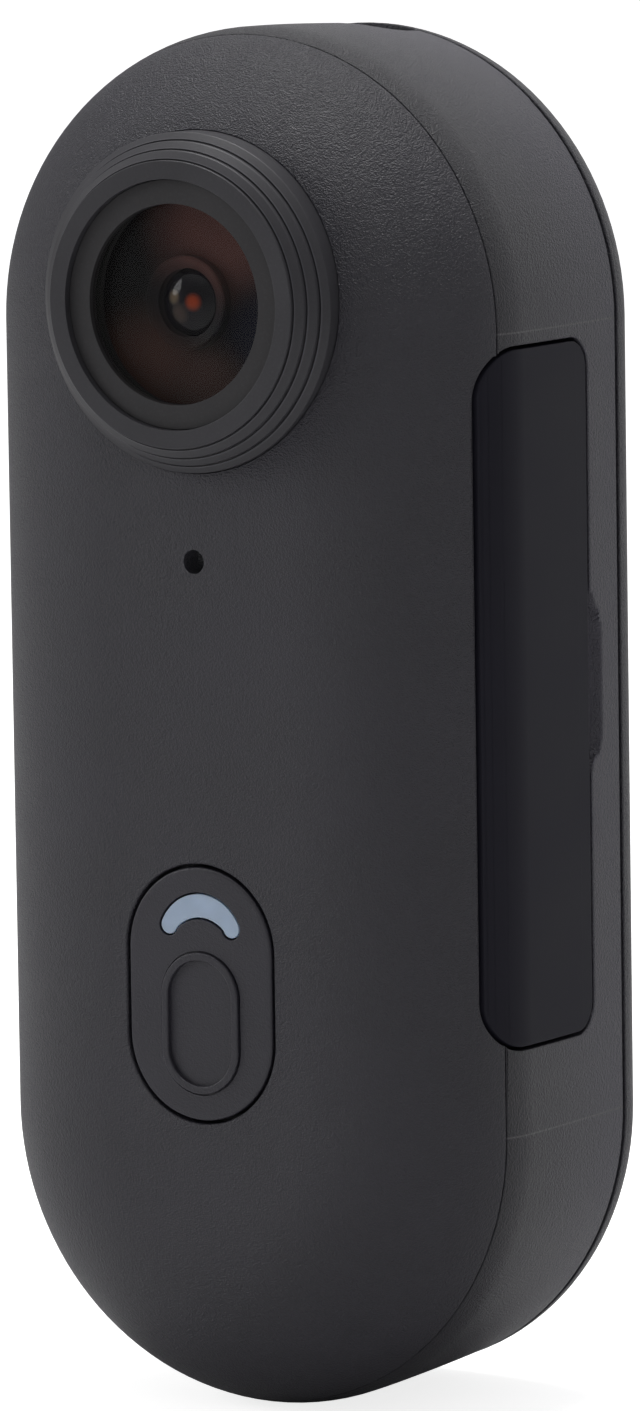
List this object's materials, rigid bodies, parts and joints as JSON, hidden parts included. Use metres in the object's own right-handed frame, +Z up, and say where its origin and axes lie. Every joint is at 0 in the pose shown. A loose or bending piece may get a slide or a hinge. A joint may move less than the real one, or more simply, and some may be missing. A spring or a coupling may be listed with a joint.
{
  "type": "mini action camera",
  "caption": "Pill-shaped wearable camera with a stepped lens collar, an oval shutter key with a light window, a hinged side door and a flat magnetic back.",
  "frame": {"origin": "centre of the rear cover's flat magnetic back face, half way up the body", "axes": "+X to the right of someone facing the lens, +Y out of the back (the lens looks along -Y), +Z up along the body's length"},
  "size_m": [0.027, 0.0191, 0.0634],
  "materials": {
    "shell_grey": "fine matte grain, charcoal",
    "door_grey": "smooth satin, near black",
    "collar_grey": "satin charcoal coat over turned metal",
    "bezel_black": "smooth satin black",
    "window_glass": "polished, coated",
    "lens_glass": "polished, violet coated",
    "filter_glass": "polished, pale cyan",
    "black_plastic": "moulded, matte black",
    "light_diffuser": "translucent, pale blue grey",
    "black_rubber": "soft, dull black",
    "grey_rubber": "soft, heat-conducting grey",
    "steel": "plain stamped steel",
    "magnet_plating": "nickel plated",
    "board_black": "solder mask over glass fibre",
    "chip_black": "moulded chip package",
    "sensor_face": "cover glass over silicon",
    "flex_amber": "polyimide film with copper",
    "heat_spreader": "plain sheet",
    "battery_foil": "laminated foil pouch",
    "tape_white": "double-sided foam tape",
    "contact_copper": "tinned copper",
    "led_yellow": "phosphor coated"
  },
  "bodies": {
    "body": {"front_shell": "shell_grey", "middle_frame": "shell_grey", "rear_cover": "shell_grey", "lens_collar": "collar_grey", "lens_bezel": "bezel_black", "lens_window": "window_glass", "window_gasket": "black_rubber", "lens_baffle": "black_plastic", "lens_barrel": "black_plastic", "lens_spacers": "black_plastic", "front_lens": "lens_glass", "second_lens": "lens_glass", "third_lens": "lens_glass", "lens_holder": "black_plastic", "ir_filter": "filter_glass", "image_sensor": "sensor_face", "sensor_board": "board_black", "sensor_flex": "flex_amber", "board_connectors": "black_plastic", "main_board": "board_black", "processor": "chip_black", "heat_pad": "grey_rubber", "heat_plate": "heat_spreader", "memory_chip": "chip_black", "power_chips": "chip_black", "motion_sensor": "chip_black", "wifi_chip": "chip_black", "shield_can": "steel", "wifi_antenna": "flex_amber", "usb_port": "steel", "usb_tongue": "black_plastic", "card_slot": "steel", "tactile_switch": "steel", "status_led": "led_yellow", "microphone": "steel", "microphone_boot": "black_rubber", "microphone_mesh": "steel", "chassis": "black_plastic", "battery": "battery_foil", "battery_tape": "tape_white", "battery_circuit": "board_black", "battery_leads": "contact_copper", "vibration_motor": "steel", "back_magnets": "magnet_plating", "magnet_plate": "steel", "strap_bar": "steel", "door_hinge_pins": "steel", "case_seal": "black_rubber", "rear_cover_gasket": "black_rubber", "button_gasket": "black_rubber", "case_screws": "steel", "board_screws": "steel", "holder_screws": "steel"},
    "door": {"side_door": "door_grey", "door_seal": "black_rubber"},
    "button": {"shutter_button": "shell_grey", "light_window": "light_diffuser", "switch_plunger": "black_plastic"}
  },
  "joints": [
    {"name": "side_door_hinge", "type": "hinge", "parent": "body", "child": "door", "pos_m": [0.01244, -0.01282, 0.00165], "axis": [0, 0, -1], "range_deg": [0, 95]},
    {"name": "shutter_press", "type": "slide", "parent": "body", "child": "button", "axis": [0, 1, 0], "range_m": [0, 0.0003], "stiffness_N_per_m": 5000}
  ]
}
